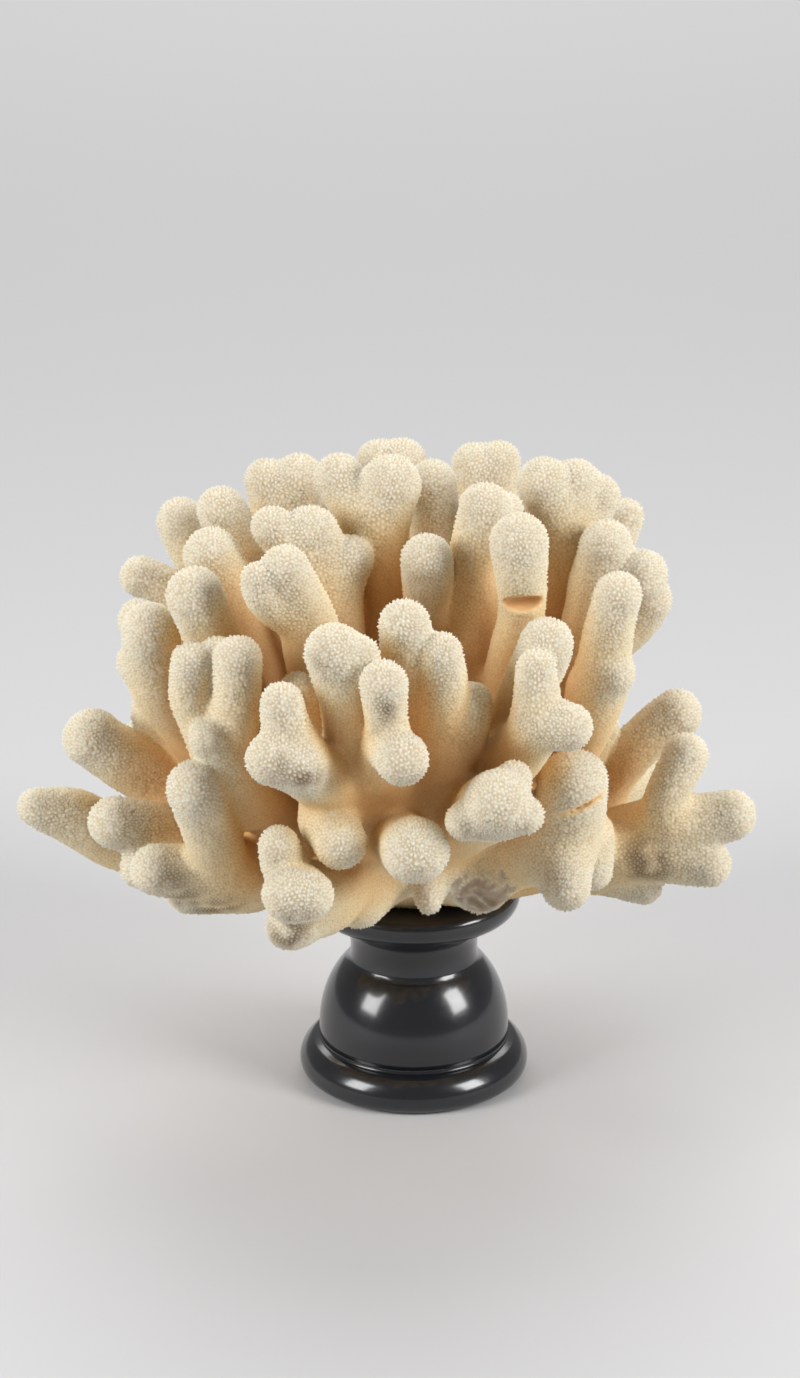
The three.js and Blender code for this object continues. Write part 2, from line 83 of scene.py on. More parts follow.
FINGERS = {
    "broken_stub": [
        [(14, -20, 73, 10), (18, -33, 71, 7.6)],
    ],
    "downward_nub": [
        [(4, -32, 78, 8), (4, -41, 74, 4.8), (4, -43, 71, 3.6)],
    ],
    "front_centre": [
        [(-8, -26, 85, 14), (-13, -50, 107, 13.6), (-16, -68, 129, 7.2),
         (-18, -74, 143, 6.8), (-21, -78, 155, 7.4)],
        [(-18, -75, 146, 6.2), (-14.6, -77, 153.4, 5.4)],
        [(-17, -58, 112, 10.6), (-28, -77, 122.6, 7.8), (-33, -83, 135, 6.6), (-34, -84, 143.6, 5.2)],
        [(-30, -80, 126, 7), (-36.6, -87, 129.7, 6.6)],
        [(-24, -72, 118, 7), (-29.5, -86, 127.4, 6.3)],
        [(-12, -60, 114, 10.4), (-7, -80, 132, 5.4), (-7.6, -84, 141, 5.3), (-8, -85, 149.2, 5.8)],
        [(-7, -80, 130, 5.6), (-3.6, -89.4, 130.8, 6.5)],
        [(-17, -56, 106, 9.5), (-24, -68, 106, 7.6), (-19.4, -78, 102.8, 6.6)],
        [(-8, -40, 92, 9), (-4, -62, 97, 8), (0, -86, 104, 8.2)],
    ],
    "front_left_low": [
        [(-14, -28, 78, 13), (-21, -50, 79, 9.5), (-29, -74, 86, 8), (-32.6, -91.6, 94, 6.5)],
        [(-29, -84, 92, 6), (-27.6, -91, 93.8, 6)],
        [(-30, -72, 87, 6.8), (-34.4, -77, 95, 5.8), (-35.4, -78, 102, 5.2)],
        [(-25, -58, 77, 8), (-33, -79, 79.4, 6)],
        [(-12, -34, 75, 9.5), (-15, -42, 69, 6)],
    ],
    "front_right_knob": [
        [(8, -32, 90, 12), (18, -60, 104, 8.6), (21, -88, 118.4, 8.2)],
        [(20, -82, 113, 6.4), (12.6, -86, 112.4, 4.8)],
        [(22, -84, 114, 6.4), (28, -88, 114.4, 4.6)],
        [(22, -80, 115, 6.4), (25.6, -80, 121.6, 4.4)],
    ],
    "front_middle": [
        [(2, -24, 87, 13), (4, -42, 106, 11.6), (6, -58, 127, 9), (7, -68, 144, 6.2), (6.4, -70, 152.6, 5)],
        [(2, -44, 110, 9), (-2, -60, 136, 7.4), (-2.6, -68, 159, 6.5)],
        [(8, -54, 119, 8), (14, -62, 130, 6), (15, -62, 136, 4.8)],
    ],
    "right_inner": [
        [(11, -22, 88, 12), (21, -34, 104, 9.2), (28, -50, 130, 7.2), (34, -60, 151, 6.9)],
        [(20, -42, 106, 8.4), (29, -63, 125, 7), (31.4, -70, 133, 6.8), (31, -70, 147.8, 4.9)],
        [(32, -70, 133, 6.6), (39.4, -74, 133.6, 6.1)],
    ],
    "right_front_low": [
        [(18, -18, 76, 14), (35, -34, 86, 12.4), (42, -42, 96, 10), (42.6, -46, 107, 8.9)],
        [(39, -40, 86, 10), (40.8, -50, 79, 6.7)],
        [(47, -26, 83, 8.4), (49.4, -28, 73.4, 5.2)],
    ],
    "left_inner": [
        [(-32, -24, 88, 9.6), (-43, -41, 101, 8.6), (-52, -52, 120, 7.4),
         (-60.6, -55, 135, 4.9), (-58.6, -55.6, 144.6, 5)],
        [(-50, -52, 120, 8), (-46.6, -59, 133, 6.2), (-46.2, -58.6, 146.4, 6.1)],
        [(-50, -50, 118, 7), (-53, -50.5, 142, 5.4), (-52, -52, 146, 4.2)],
        [(-43, -46, 102, 7), (-48, -56, 115, 6.4), (-54, -62, 126, 5)],
    ],
    "left_front_low": [
        [(-34, -22, 76, 10), (-54, -46, 80, 8), (-69.6, -54, 85, 6.4)],
        [(-51, -44, 80, 7.6), (-54, -56, 95, 7), (-57.6, -64, 112.2, 7.3)],
        [(-57, -40, 78, 7), (-74.6, -40, 79.6, 5.2)],
        [(-45, -34, 73, 8), (-62, -44, 74, 5.4)],
    ],
    "left_low": [
        [(-42, -6, 71, 11), (-68, -8, 71, 9), (-82, -10, 73, 7.3),
         (-93.6, -14, 84, 8.3), (-105, -18, 88.8, 5)],
        [(-46, -6, 74, 11), (-68, -12, 91, 8.4), (-89, -16, 108.4, 7.7)],
        [(-47, -14, 74, 10), (-64, -30, 86, 7.8), (-81.4, -38, 92, 7)],
    ],
    "left_mid": [
        [(-36, -12, 90, 9), (-57, -14, 106, 8.2), (-70, -24, 125, 7.2), (-71, -30, 144.4, 7.6)],
        [(-70, -22, 128, 6.2), (-75.4, -24, 133.4, 5.2)],
        [(-71, -22, 139, 6), (-75, -18, 143.8, 5.4)],
        [(-48, -8, 99, 7.2), (-72, -6, 113, 6.8)],
    ],
    "left_shoulder": [
        [(-28, -19, 96, 10), (-45, -27, 119, 8.4), (-53, -38, 143, 7.6), (-58, -42, 158.4, 7.4)],
    ],
    "left_upper": [
        [(-25, -2, 98, 10), (-41, -8, 122, 8), (-49.4, -18, 151, 7.2), (-55, -22, 163.6, 7)],
        [(-44, -4, 132, 6.6), (-66, 4, 144.4, 5.8), (-76, 4, 148.8, 5.5)],
    ],
    "left_crown": [
        [(-22, 12, 98, 10), (-36, 11, 122, 8.2), (-47, 6, 154, 7.2), (-53.4, 4, 168.2, 6.5)],
        [(-38, 15, 124, 7.6), (-61, 23, 147, 6.8), (-65.8, 24, 158.6, 6.3)],
    ],
    "right_low": [
        [(27, -4, 69, 13), (52, -10, 73, 10.2), (63, -14, 79, 9.4),
         (76, -18, 84, 7.8), (87.6, -20, 87, 6.7)],
        [(70, -20, 87, 6.8), (68, -22, 93, 5.4), (73, -22, 101, 6.1), (74.8, -20, 104.8, 5.9)],
        [(63, -14, 74, 8.4), (82, -22, 73, 6)],
        [(53, -6, 66, 8), (65, -12, 62, 5)],
    ],
    "right_mid": [
        [(32, 8, 74, 9), (53, 9, 75, 7), (58, 6, 88, 5), (64, 4, 100, 6.6), (74, 4, 108, 6.9)],
    ],
    "right_shoulder": [
        [(23, -12, 88, 10), (40, -18, 100, 8.6), (49, -30, 125, 7.6),
         (51.4, -36, 144, 6.6), (53.8, -38, 157.4, 6.1)],
        [(49, -32, 129, 6.6), (53.4, -38, 135.2, 5.2)],
        [(43, 2, 90, 7.6), (52, 2, 106, 5.1)],
    ],
    "right_upper": [
        [(24, 0, 94, 9), (39, -3, 108, 8.2), (48, -9, 140, 7.2), (52, -12, 162.4, 7.1)],
        [(50, -10, 152, 7), (61.8, -14, 155.2, 6.8)],
    ],
    "crown_left_front": [
        [(-17, -22, 98, 10), (-25, -35, 129, 8.6), (-28.4, -44, 152, 7.7), (-34.2, -50, 168.6, 5.9)],
        [(-31, -46, 153, 5.4), (-41, -53, 160.6, 4.2), (-41.4, -53, 167, 3.9)],
        [(-23, -40, 118, 7.6), (-31, -54, 136, 4.8)],
    ],
    "crown_left": [
        [(-13, -6, 98, 10), (-20, -12, 126, 8.8), (-24, -18, 152, 8.4), (-28, -20, 169, 7.2)],
        [(-26, -18, 157, 7.2), (-38.4, -22, 171.2, 5.5)],
        [(-24, -18, 149, 7.8), (-17.6, -18, 160.8, 6.4)],
    ],
    "crown_left_back": [
        [(-15, 24, 98, 10), (-27, 31, 122, 8.2), (-37, 32, 151, 7.8), (-42, 30, 169, 6)],
        [(-37, 32, 154, 7.8), (-33, 30, 169.8, 6.5)],
    ],
    "crown_club": [
        [(-5, 4, 98, 10), (-7, 2, 118, 8), (-8.4, -4, 146, 5.9), (-11, -6, 167, 9), (-6.6, -8, 178.8, 8)],
        [(-11, -6, 167, 8.4), (-20.6, -4, 179.4, 6.6)],
    ],
    "crown_middle": [
        [(3, 18, 98, 10), (6, 20, 118, 8.2), (7, 19, 148, 7), (5, 16, 172.2, 6.7)],
        [(6, 10, 120, 7), (4, -14, 141, 6.2), (3.2, -23, 156, 6.5), (3.4, -28, 164.2, 6.8)],
    ],
    "crown_back": [
        [(-3, 34, 98, 9), (-5, 40, 118, 8.2), (-7, 44, 153, 8), (-10.2, 45, 169.8, 6.3)],
        [(-7, 44, 153, 8), (-3, 45, 170, 6.3)],
    ],
    "crown_right": [
        [(9, 0, 96, 10), (13, -6, 112, 8.4), (17, -15, 143, 7.2), (16, -18, 162, 6.9), (19, -18, 175, 6.8)],
        [(18, -16, 169, 6), (24, -12, 172.6, 5)],
    ],
    "crown_right_back": [
        [(10, 28, 98, 9), (17, 36, 118, 8.2), (21, 40, 153, 7.6), (17, 40, 170.6, 6.1)],
        [(21, 40, 156, 7.6), (24.2, 40, 171, 6)],
    ],
    "crown_fan": [
        [(17, 14, 94, 9), (32, 12, 112, 7.8), (39, 6, 136, 6.2), (42, 2, 160, 7.8), (35.2, 0, 177, 6.9)],
        [(42, 2, 160, 7.6), (44, 4, 175.6, 6.7)],
        [(43, 4, 158, 7.4), (50.4, 6, 171.2, 6)],
        [(36, 22, 109, 7.4), (55, 30, 145, 6.4), (59.6, 30, 157.8, 5.4)],
    ],
    "broken_finger": [
        [(16, -16, 98, 9), (25, -24, 125, 7), (27, -31, 142, 6.3),
         (29, -36, 155, 6), (28, -38, 162, 6.5), (27.4, -38, 172, 7.4)],
    ],
    "back_low_knob": [
        [(0, 28, 78, 11), (3, 56, 83, 9), (2, 82, 95, 8.4)],
        [(3, 60, 83, 7), (14, 76, 79, 6.4)],
    ],
    "back_centre": [
        [(-4, 36, 86, 9), (-5, 60, 104, 8.6), (-9, 71, 126, 8), (-12, 74, 142, 7.6)],
        [(-6, 62, 110, 7.6), (6, 74, 126, 6.6), (8, 76, 138, 6.8)],
    ],
    "back_left_low": [
        [(-20, 22, 74, 12), (-42, 42, 76, 9.4), (-60, 58, 84, 8), (-66, 62, 98, 7.4)],
        [(-40, 44, 76, 8), (-46, 66, 74, 6.6)],
        [(-30, 40, 80, 9), (-32, 66, 92, 7.6), (-34, 76, 106, 7.2)],
    ],
    "back_left_mid": [
        [(-24, 22, 86, 10), (-42, 39, 104, 8.8), (-54, 50, 124, 8), (-58, 52, 142, 7.8)],
        [(-46, 40, 106, 8), (-66, 40, 116, 6.8), (-74, 40, 126, 6.6)],
    ],
    "back_left_high": [
        [(-12, 32, 92, 9), (-21, 53, 114, 8.2), (-26, 60, 136, 7.8), (-27, 62, 153, 7.4)],
        [(-24, 56, 126, 7), (-40, 62, 134, 6.2)],
    ],
    "left_back_low": [
        [(-36, 8, 70, 12), (-60, 20, 75, 9), (-73, 27, 82, 7.6), (-77, 29, 91, 6.8)],
        [(-62, 24, 75, 7.4), (-76, 40, 76, 6.4)],
    ],
    "back_right_high": [
        [(16, 32, 90, 9), (28, 54, 112, 8.2), (33, 60, 132, 7.8), (35, 62, 148, 7.4)],
        [(28, 57, 118, 7), (17, 68, 132, 6.6), (17, 70, 144, 6.4)],
    ],
    "back_right_mid": [
        [(20, 22, 86, 10), (38, 37, 102, 8.8), (48, 48, 122, 8), (52, 52, 140, 7.6)],
        [(42, 42, 108, 8), (62, 42, 120, 6.8), (68, 40, 130, 6.6)],
    ],
    "back_right_low": [
        [(18, 22, 75, 11), (36, 46, 78, 9.2), (44, 62, 90, 8), (48, 66, 106, 7.4)],
        [(36, 50, 78, 8), (29, 70, 77, 6.6)],
    ],
    "right_back_low": [
        [(32, 16, 74, 11), (58, 30, 77, 8.6), (66, 40, 80, 7.2)],
        [(60, 32, 78, 7), (66, 48, 75, 6.2)],
    ],
}

HOLDFAST_CENTRE = (-1, 6, 85)
HOLDFAST_HALF = (46, 41, 34)
HOLDFAST_DEPTH = 60         # counts as this far from any tip

# ---- Camera, at the photograph's viewing angle ----

CAMERA_TARGET = Vector((-4, 0, 117)) * MM
CAMERA_DISTANCE = 950 * MM
CAMERA_PITCH = math.radians(20)
CAMERA_LENS = 88.64


def add_object(name, data):
    obj = bpy.data.objects.new(name, data)
    bpy.context.scene.collection.objects.link(obj)
    return obj


def add_camera():
    data = bpy.data.cameras.new("camera")
    data.lens = CAMERA_LENS
    data.clip_start = 0.05
    data.clip_end = 20
    camera = add_object("camera", data)
    back = Vector((0, -math.cos(CAMERA_PITCH), math.sin(CAMERA_PITCH)))
    camera.location = CAMERA_TARGET + back * CAMERA_DISTANCE
    camera.rotation_euler = (math.pi / 2 - CAMERA_PITCH, 0, 0)
    bpy.context.scene.camera = camera


def add_light(name, place, size, power, aim=(0, 0, 0.1)):
    data = bpy.data.lights.new(name, "AREA")
    data.shape = "RECTANGLE"
    data.size, data.size_y = size
    data.energy = power
    light = add_object(name, data)
    light.location = place
    direction = Vector(aim) - Vector(place)
    light.rotation_euler = direction.to_track_quat("-Z", "Y").to_euler()


def add_lights():
    add_light("softbox_left", (-0.90, -0.50, 0.60), (0.45, 0.6), 9.2)
    add_light("softbox_right", (0.94, -0.48, 0.62), (0.45, 0.6), 10.6)
    add_light("top_light", (0, 0.35, 1.1), (0.8, 0.5), 2.2)
    add_light("backdrop_light", (0, 2.4, 2.2), (3.0, 2.0), 60, aim=(0, 2.2, 0))
    world = bpy.data.worlds.new("studio")
    world.use_nodes = True
    world.node_tree.nodes["Background"].inputs["Color"].default_value = (1, 0.98, 0.95, 1)
    world.node_tree.nodes["Background"].inputs["Strength"].default_value = 0.25
    bpy.context.scene.world = world
    bpy.context.scene.view_settings.view_transform = "Standard"


# ---- Materials ----

def new_material(name):
    material = bpy.data.materials.new(name)
    material.use_nodes = True
    tree = material.node_tree
    return material, tree, tree.nodes["Principled BSDF"]


def add_node(tree, kind, **inputs):
    node = tree.nodes.new(kind)
    for name, value in inputs.items():
        node.inputs[name.replace("_", " ")].default_value = value
    return node


def ramp(tree, factor, stops):
    node = tree.nodes.new("ShaderNodeValToRGB")
    elements = node.color_ramp.elements
    while len(elements) < len(stops):
        elements.new(0.5)
    for element, (position, colour) in zip(elements, stops):
        element.position = position
        element.color = (*colour, 1)
    tree.links.new(factor, node.inputs["Fac"])
    return node.outputs["Color"]


def attribute(tree, name):
    node = tree.nodes.new("ShaderNodeAttribute")
    node.attribute_name = name
    return node.outputs["Fac"]


def mix(tree, factor, first, second, blend="MIX"):
    node = tree.nodes.new("ShaderNodeMix")
    node.data_type = "RGBA"
    node.blend_type = blend
    for socket, value in ((node.inputs[0], factor), (node.inputs[6], first), (node.inputs[7], second)):
        if isinstance(value, bpy.types.NodeSocket):
            tree.links.new(value, socket)
        elif isinstance(value, tuple):
            socket.default_value = (*value, 1)
        else:
            socket.default_value = value
    return node.outputs[2]


def coral_material():
    material, tree, surface = new_material("coral_skeleton")
    # Colour from ivory tips to honey: the skin's own tone along each finger, plus painted shade and warm
    # bounced light between crowded fingers.
    colour = ramp(tree, attribute(tree, "depth"), [
        (0.0, (0.88, 0.85, 0.74)),
        (0.20, (0.88, 0.80, 0.61)),
        (0.48, (0.87, 0.70, 0.44)),
        (0.76, (0.82, 0.58, 0.31)),
        (1.0, (0.74, 0.47, 0.22)),
    ])
    blotches = add_node(tree, "ShaderNodeTexNoise", Scale=120.0, Detail=4.0)
    tint = ramp(tree, blotches.outputs["Fac"], [(0.35, (0.95, 0.92, 0.86)), (0.65, (1, 1, 1))])
    colour = mix(tree, 1.0, colour, tint, "MULTIPLY")
    # Painted shade in the pits: the deeper a pit, the darker and warmer its colour.
    pits = ramp(tree, attribute(tree, "pit"), [(0.0, (1, 1, 1)), (1.0, (0.78, 0.69, 0.57))])
    colour = mix(tree, 1.0, colour, pits, "MULTIPLY")
    crystals = add_node(tree, "ShaderNodeTexVoronoi", Scale=320.0)
    broken = ramp(tree, crystals.outputs["Distance"], [
        (0.28, (0.88, 0.78, 0.62)),
        (0.50, (0.56, 0.44, 0.32)),
        (0.72, (0.10, 0.065, 0.04)),
    ])
    stains = add_node(tree, "ShaderNodeTexNoise", Scale=230.0, Detail=3.0)
    stain = ramp(tree, stains.outputs["Fac"], [(0.40, (0.50, 0.41, 0.33)), (0.55, (1, 1, 1))])
    broken = mix(tree, 1.0, broken, stain, "MULTIPLY")
    colour = mix(tree, attribute(tree, "fracture"), colour, broken)
    # Grey-brown darkening in the listed patches, and dark specks.
    colour = mix(tree, attribute(tree, "dark_marks"), colour, (0.20, 0.135, 0.08))
    tree.links.new(colour, surface.inputs["Base Color"])
    surface.inputs["Roughness"].default_value = 0.85
    surface.inputs["Specular IOR Level"].default_value = 0.3
    surface.inputs["Subsurface Weight"].default_value = 0.25
    surface.inputs["Subsurface Radius"].default_value = (1.0, 0.55, 0.28)
    surface.inputs["Subsurface Scale"].default_value = 2.5 * MM
    return material


def lacquer_material():
    material, tree, surface = new_material("black_lacquer")
    surface.inputs["Base Color"].default_value = (0.006, 0.007, 0.010, 1)
    surface.inputs["Coat Weight"].default_value = 0.6
    surface.inputs["Coat Roughness"].default_value = 0.12
    wear = add_node(tree, "ShaderNodeTexNoise", Scale=55.0, Detail=5.0)
    gloss = tree.nodes.new("ShaderNodeMapRange")
    gloss.inputs["To Min"].default_value = 0.16
    gloss.inputs["To Max"].default_value = 0.30
    tree.links.new(wear.outputs["Fac"], gloss.inputs["Value"])
    tree.links.new(gloss.outputs["Result"], surface.inputs["Roughness"])
    return material


def floor_material():
    material, _, surface = new_material("pale_floor")
    surface.inputs["Base Color"].default_value = (0.58, 0.58, 0.59, 1)
    surface.inputs["Roughness"].default_value = 0.8
    return material


# ---- Where the coral is: a distance field on a grid, negative inside ----

def finger_line(points):
    """The finger as a row of balls (x, y, z, radius), and each ball's distance from the tip."""
    points = np.array(points, float)
    steps = np.linalg.norm(np.diff(points[:, :3], axis=0), axis=1)
    along = np.concatenate([[0], np.cumsum(steps)])
    samples = np.linspace(0, along[-1], max(3, round(along[-1] / BEAD_SPACING) + 1))
    line = np.stack([np.interp(samples, along, points[:, k]) for k in range(4)], axis=1)
    for _ in range(LINE_PASSES):
        line[1:-1] = (line[:-2] + 2 * line[1:-1] + line[2:]) / 4
    return line, along[-1] - samples


class Grid:
    """A box of evenly spaced points round all the fingers."""

    def __init__(self, lines):
        balls = np.vstack(lines)
        self.low = (balls[:, :3] - balls[:, 3:]).min(0) - 2 * FIELD_MARGIN
        high = (balls[:, :3] + balls[:, 3:]).max(0) + 2 * FIELD_MARGIN
        self.shape = np.ceil((high - self.low) / CELL).astype(int)

    def window(self, low, high):
        """The slices that cover a box, and the x, y and z of their points."""
        start = np.maximum(((np.array(low) - self.low) / CELL).astype(int), 0)
        stop = np.minimum(((np.array(high) - self.low) / CELL).astype(int) + 2, self.shape)
        axes = [(self.low[k] + CELL * np.arange(start[k], stop[k])).astype(np.float32) for k in range(3)]
        return tuple(slice(a, b) for a, b in zip(start, stop)), np.meshgrid(*axes, indexing="ij", sparse=True)

    def cell_of(self, points):
        return tuple(np.round((points - self.low) / CELL).astype(int).T)


def finger_distance(line, from_tip, slices, axes):
    """The distance to the nearest ball in the window, and that ball's distance from the tip."""
    shape = tuple(part.stop - part.start for part in slices)
    near = np.full(shape, FIELD_MARGIN, np.float32)
    depth = np.zeros(shape, np.float32)
    for (x, y, z, radius), ball_depth in zip(line, from_tip):
        reach = radius + FIELD_MARGIN
        part = tuple(
            slice(*np.searchsorted(axis.reshape(-1), (middle - reach, middle + reach)))
            for axis, middle in zip(axes, (x, y, z))
        )
        dx = axes[0][part[0]] - np.float32(x)
        dy = axes[1][:, part[1]] - np.float32(y)
        dz = axes[2][:, :, part[2]] - np.float32(z)
        distance = np.sqrt(dx * dx + dy * dy + dz * dz) - np.float32(radius)
        closer = distance < near[part]
        near[part][closer] = distance[closer]
        depth[part][closer] = ball_depth
    return near, depth


def blend_at(axes):
    """The softness of the joins: crisp at the tips, like webbing near the holdfast."""
    outward = np.sqrt(sum(
        ((axis - middle) / half) ** 2 for axis, middle, half in zip(axes, HOLDFAST_CENTRE, HOLDFAST_HALF)
    ))
    share = np.clip((WEB_END - outward) / (WEB_END - 1), 0, 1)
    return TIP_BLEND + (ROOT_BLEND - TIP_BLEND) * share


def weight_of(distance, blend):
    return np.maximum(np.exp(-distance / blend) - np.exp(-FIELD_MARGIN / blend), 0)


def ellipsoid_distance(axes, centre, half):
    offsets = [axis - middle for axis, middle in zip(axes, centre)]
    scaled = np.sqrt(sum((offset / size) ** 2 for offset, size in zip(offsets, half)))
    slope = np.sqrt(sum((offset / size ** 2) ** 2 for offset, size in zip(offsets, half)))
    return scaled * (scaled - 1) / np.maximum(slope, 1e-6)


def cut_away(field, slices, hollow):
    """Takes a hollow, given by its own distance, out of the field."""
    field[slices] = np.maximum(field[slices], -hollow)


def coral_field():
    """The grid, the distance to the coral's surface, and the distance from the nearest tip."""
    fingers = [(node, *finger_line(points)) for node in FINGERS for points in FINGERS[node]]
    grid = Grid([line for _, line, _ in fingers])
    weights = np.full(grid.shape, EMPTY_WEIGHT, np.float32)
    depths = np.zeros(grid.shape, np.float32)
    for node, line, from_tip in fingers:
        reach = line[:, 3:] + FIELD_MARGIN
        slices, axes = grid.window((line[:, :3] - reach).min(0), (line[:, :3] + reach).max(0))
        near, depth = finger_distance(line, from_tip, slices, axes)
        if node == "broken_stub":
            near = np.maximum(near, fracture_distance(axes))
        weight = weight_of(near, blend_at(axes))
        weights[slices] += weight
        depths[slices] += weight * depth
    centre, half = np.array(HOLDFAST_CENTRE), np.array(HOLDFAST_HALF)
    slices, axes = grid.window(centre - half - FIELD_MARGIN, centre + half + FIELD_MARGIN)
    weight = weight_of(ellipsoid_distance(axes, centre, half), blend_at(axes))
    weights[slices] += weight
    depths[slices] += weight * HOLDFAST_DEPTH
    depths /= weights
    _, axes = grid.window(grid.low, grid.low + (grid.shape - 1) * CELL)
    field = -blend_at(axes) * np.log(weights)
    for crack in CRACKS:
        slices, axes = grid.window(*crack_box(crack))
        cut_away(field, slices, crack_distance(axes, crack))
    slices, axes = grid.window((-STAND_REACH, -STAND_REACH, 0), (STAND_REACH, STAND_REACH, STAND_TOP + CELL))
    radial = np.sqrt(axes[0] ** 2 + axes[1] ** 2) - STAND_REACH
    cut_away(field, slices, np.maximum(radial, axes[2] - STAND_TOP))
    return grid, field, depths


# ---- Damage: a broken stub, a broken finger and a cracked one ----

FRACTURE_PLACE = (18.5, -38.6, 70.5)
FRACTURE_FACING = Vector((0.05, -0.94, -0.34)).normalized()
FRACTURE_ROUGHNESS = 2.3
FRACTURE_GRAIN = 3.2
FRACTURE_REACH = 9.5         # the broken face lies within this distance of its place
FRACTURE_EDGE = 0.9          # and its colour fades over about this distance

# Each crack is a flat lens: its middle, its half sizes along, into and across the crack, and its roll
# about the Y axis.
CRACKS = (
    {"middle": (28.6, -45.5, 156.2), "half": (6.8, 9, 2.3), "roll": 0.08},
    {"middle": (46.5, -55.0, 103.8), "half": (7.2, 5, 0.42), "roll": 0.44},
)
CRACK_EDGE = 0.8             # the skin this close to a crack is bare and dark


def fracture_distance(axes):
    """Above zero in front of the rough plane that ends the broken stub."""
    offsets = [axis - middle for axis, middle in zip(axes, FRACTURE_PLACE)]
    plane = sum(offset * side for offset, side in zip(offsets, FRACTURE_FACING))
    grain = FRACTURE_GRAIN
    # waves that don't line up, for an irregular face
    bumps = (np.sin(offsets[0] / grain * 2.3 + np.sin(offsets[2] / grain * 1.7 + 1) * 1.6)
             + np.sin(offsets[2] / grain * 2.9 + np.sin(offsets[0] / grain * 2.1) * 1.9 + 2))
    return (plane + FRACTURE_ROUGHNESS * 0.5 * np.abs(bumps)).astype(np.float32)


def crack_box(crack):
    reach = max(crack["half"]) + FIELD_MARGIN
    middle = np.array(crack["middle"])
    return middle - reach, middle + reach


def crack_distance(axes, crack):
    x, y, z = (axis - middle for axis, middle in zip(axes, crack["middle"]))
    cos, sin = math.cos(crack["roll"]), math.sin(crack["roll"])
    return ellipsoid_distance((x * cos + z * sin, y, z * cos - x * sin), (0, 0, 0), crack["half"])


# ---- From the field to a skin of points and four-sided faces ----

def skin_of(grid, field):
    """One point in each cell that the surface crosses, and a face across each crossed grid edge."""
    inside = field < 0
    stride = np.array([field.shape[1] * field.shape[2], field.shape[2], 1])
    rings, places = [], []
    for axis in range(3):
        first = tuple(slice(0, -1) if k == axis else slice(None) for k in range(3))
        second = tuple(slice(1, None) if k == axis else slice(None) for k in range(3))
        crossed = np.argwhere(inside[first] != inside[second])
        start = crossed @ stride
        here, there = field.reshape(-1)[start], field.reshape(-1)[start + stride[axis]]
        place = crossed.astype(float)
        place[:, axis] += here / (here - there)
        u, v = stride[(axis + 1) % 3], stride[(axis + 2) % 3]
        ring = np.stack([start, start - u, start - u - v, start - v], axis=1)
        leaving = here < 0
        ring[~leaving] = ring[~leaving][:, ::-1]
        rings.append(ring)
        places.append(place)
    rings, places = np.vstack(rings), np.vstack(places)
    _, quads = np.unique(rings, return_inverse=True)
    quads = quads.reshape(-1, 4)
    count = np.bincount(quads.reshape(-1))
    points = np.stack([
        np.bincount(quads.reshape(-1), np.repeat(places[:, axis], 4)) / count for axis in range(3)
    ], axis=1)
    return grid.low + points * CELL, quads


def neighbour_table(quads, count):
    """The first few neighbours of each point; a missing one is the point itself."""
    edges = np.vstack([quads[:, [k, (k + 1) % 4]] for k in range(4)])
    edges = edges[np.argsort(edges[:, 0], kind="stable")]
    start = np.searchsorted(edges[:, 0], np.arange(count))
    rank = np.arange(len(edges)) - start[edges[:, 0]]
    table = np.tile(np.arange(count)[:, None], (1, NEIGHBOURS))
    kept = rank < NEIGHBOURS
    table[edges[kept, 0], rank[kept]] = edges[kept, 1]
    return table


def corner_normals(corners, triangles):
    a, b, c = (corners[triangles[:, k]] for k in range(3))
    face_normals = np.cross(b - a, c - a)
    normals = np.stack([
        sum(np.bincount(triangles[:, k], face_normals[:, axis], len(corners)) for k in range(3))
        for axis in range(3)
    ], axis=1)
    return normals / np.maximum(np.linalg.norm(normals, axis=1, keepdims=True), 1e-20)


# ---- From the skin to spines ----

def centres_of(points, owner):
    size = np.bincount(owner)
    sums = np.stack([np.bincount(owner, points[:, axis]) for axis in range(3)], axis=1)
    return (sums / np.maximum(size, 1)[:, None]).astype(np.float32)


def connected_patches(owner, table):
    """A number for each connected patch of points that belong to the same spine."""
    patch = np.arange(len(owner))
    while True:
        lowest = patch
        for k in range(NEIGHBOURS):
            other = table[:, k]
            lowest = np.where(owner[other] == owner, np.minimum(lowest, patch[other]), lowest)
        if (lowest == patch).all():
            return patch
        patch = lowest


def without_loose_patches(owner, table):
    """Leaves each spine its largest patch. The rest, and tiny spines, go to the ones beside them."""
    patch = connected_patches(owner, table)
    size = np.bincount(patch, minlength=len(patch))[patch]
    order = np.lexsort((size, owner))
    largest = np.zeros(owner.max() + 1, np.int64)
    largest[owner[order]] = patch[order]
    loose = (patch != largest[owner]) | (size < LEAST_POINTS)
    owner = owner.copy()
    for k in list(range(NEIGHBOURS)) * ABSORB_ROUNDS:
        other = table[:, k]
        take = loose & ~loose[other]
        owner[take] = owner[other[take]]
        loose[take] = False
    return owner


